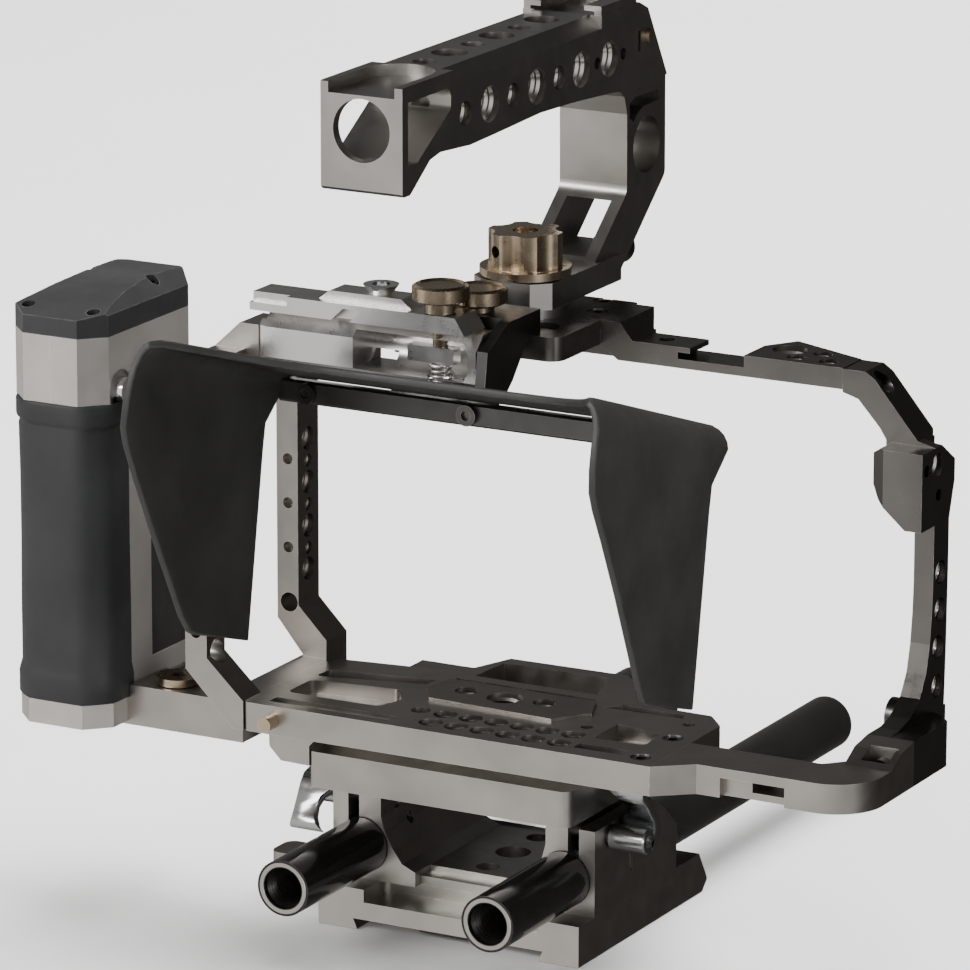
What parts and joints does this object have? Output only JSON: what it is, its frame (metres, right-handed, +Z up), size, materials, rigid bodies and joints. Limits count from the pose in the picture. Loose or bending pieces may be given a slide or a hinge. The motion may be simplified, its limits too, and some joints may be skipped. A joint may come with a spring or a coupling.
{
  "type": "cinema camera rig",
  "caption": "Open metal camera cage on a rod base plate, with a long top handle, a battery side handle, a tilting sunhood and clamps, for holding and rigging a small cinema camera.",
  "frame": {"origin": "middle of the base plate's foot plane, on the axis of its central thread", "axes": "+Z up, +X to the operator's right, +Y away from the operator towards the lens; the rods run along Y"},
  "size_m": [0.2433, 0.263, 0.2394],
  "materials": {
    "cage_metal": "hard anodised titanium grey, fine bead blast",
    "plate_metal": "hard anodised dark grey",
    "base_metal": "hard anodised grey",
    "handle_metal": "hard anodised light titanium",
    "bronze": "satin bronze anodised",
    "rod_black": "gloss black anodised",
    "lever_metal": "satin gun-metal",
    "steel": "satin",
    "screw_black": "black oxide",
    "chrome": "polished",
    "hood_plastic": "fine matt texture",
    "hood_metal": "satin dark grey",
    "grip_rubber": "matt",
    "cap_plastic": "fine matt texture",
    "shell_metal": "bead blasted",
    "clamp_metal": "satin machined",
    "panel_dark": "matt",
    "cell_wrap": "shrink wrap",
    "contact_brass": "plain",
    "board_green": "solder mask"
  },
  "bodies": {
    "base": {"base_plate": "base_metal", "base_riser": "base_metal", "base_pad": "grip_rubber", "rod_clamp_left": "base_metal", "rod_clamp_right": "base_metal", "qr_receiver": "base_metal", "receiver_screws": "screw_black", "qr_jaw_left": "base_metal", "qr_rail_right": "base_metal", "qr_jaw_bolts": "screw_black"},
    "cage": {"qr_plate": "cage_metal", "cage_bottom_plate": "cage_metal", "camera_key_plate": "plate_metal", "cage_left_frame": "cage_metal", "cage_top_plate": "cage_metal", "cage_top_bar": "cage_metal", "cage_right_arm": "cage_metal", "cage_lower_arm": "cage_metal", "cage_screws": "screw_black", "cage_joint_screws": "screw_black", "handle_disc": "handle_metal", "top_handle": "handle_metal", "drive_clamp_body": "clamp_metal", "drive_clamp_cover": "clamp_metal", "drive_clamp_eyelet": "chrome", "drive_clamp_spring": "steel", "drive_clamp_keeper": "screw_black", "hood_bracket": "hood_metal", "side_shell_left": "shell_metal", "side_shell_right": "shell_metal", "side_cap": "cap_plastic", "side_cap_screws": "screw_black", "side_grip": "grip_rubber", "side_base": "shell_metal", "side_panel": "panel_dark", "battery_cells": "cell_wrap", "battery_contacts": "contact_brass", "circuit_board": "board_green", "handle_arm": "cage_metal", "arm_base_screws": "screw_black"},
    "base_lock": {"base_lock_slider": "plate_metal"},
    "rod_left_body": {"rod_left": "rod_black"},
    "rod_right_body": {"rod_right": "rod_black"},
    "lever_left_body": {"rod_lever_left": "lever_metal"},
    "lever_right_body": {"rod_lever_right": "lever_metal"},
    "safety_pin_body": {"cage_safety_pin": "bronze"},
    "arm_thumb_body": {"arm_thumbscrew": "screw_black"},
    "ring_body": {"handle_ring": "bronze"},
    "side_button_body": {"side_handle_button": "chrome"},
    "knob_body": {"handle_knob": "bronze"},
    "front_knob_body": {"handle_front_knob": "screw_black"},
    "push_pin_body": {"handle_push_pin": "bronze"},
    "thumb_near_body": {"thumbscrew_near": "bronze"},
    "thumb_far_body": {"thumbscrew_far": "bronze"},
    "jaw_body": {"drive_clamp_jaw": "clamp_metal"},
    "hood_body": {"hood_shell": "hood_plastic", "hood_frame": "hood_metal", "hood_pin": "steel", "hood_screws": "screw_black"}
  },
  "joints": [
    {"name": "base_lock_slide", "type": "slide", "parent": "base", "child": "base_lock", "axis": [-1, 0, 0], "range_m": [0, 0.004], "stiffness_N_per_m": 200},
    {"name": "rod_left_slide", "type": "slide", "parent": "base", "child": "rod_left_body", "axis": [0, 1, 0], "range_m": [-0.03, 0.03]},
    {"name": "rod_right_slide", "type": "slide", "parent": "base", "child": "rod_right_body", "axis": [0, 1, 0], "range_m": [-0.03, 0.03]},
    {"name": "lever_left_turn", "type": "hinge", "parent": "base", "child": "lever_left_body", "pos_m": [0, -0.019, 0.031], "axis": [1, 0, 0], "range_deg": [0, 150]},
    {"name": "lever_right_turn", "type": "hinge", "parent": "base", "child": "lever_right_body", "pos_m": [0, -0.019, 0.031], "axis": [1, 0, 0], "range_deg": [0, 150]},
    {"name": "cage_slide", "type": "slide", "parent": "base", "child": "cage", "axis": [0, 1, 0], "range_m": [-0.01, 0.02]},
    {"name": "safety_pin_push", "type": "slide", "parent": "cage", "child": "safety_pin_body", "axis": [0, 1, 0], "range_m": [0, 0.003], "stiffness_N_per_m": 300},
    {"name": "arm_thumb_turn", "type": "hinge", "parent": "cage", "child": "arm_thumb_body", "pos_m": [0.108, 0.009, 0.0662], "axis": [1, 0, 0], "continuous": true},
    {"name": "handle_ring_turn", "type": "hinge", "parent": "cage", "child": "ring_body", "pos_m": [-0.078, -0.0415, 0.0628], "axis": [0, 0, 1], "continuous": true},
    {"name": "side_button_push", "type": "slide", "parent": "cage", "child": "side_button_body", "axis": [-1, 0, 0], "range_m": [0, 0.0015], "stiffness_N_per_m": 300},
    {"name": "handle_knob_turn", "type": "hinge", "parent": "cage", "child": "knob_body", "pos_m": [0, 0.006, 0.176], "axis": [0, 0, 1], "continuous": true},
    {"name": "front_knob_turn", "type": "hinge", "parent": "cage", "child": "front_knob_body", "pos_m": [0, 0.05, 0.1682], "axis": [0, 1, 0], "continuous": true},
    {"name": "push_pin_push", "type": "slide", "parent": "cage", "child": "push_pin_body", "axis": [-1, 0, 0], "range_m": [0, 0.0015], "stiffness_N_per_m": 300},
    {"name": "thumb_near_turn", "type": "hinge", "parent": "cage", "child": "thumb_near_body", "pos_m": [-0.001, -0.038, 0.175], "axis": [0, 0, 1], "continuous": true},
    {"name": "thumb_far_turn", "type": "hinge", "parent": "cage", "child": "thumb_far_body", "pos_m": [0.002, -0.023, 0.172], "axis": [0, 0, 1], "continuous": true},
    {"name": "jaw_press", "type": "slide", "parent": "cage", "child": "jaw_body", "axis": [0, 0, -1], "range_m": [0, 0.002], "stiffness_N_per_m": 800, "deforming": ["drive_clamp_spring"]},
    {"name": "hood_tilt", "type": "hinge", "parent": "cage", "child": "hood_body", "pos_m": [0.0265, -0.0535, 0.151], "axis": [-1, 0, 0], "range_deg": [0, 80]}
  ]
}
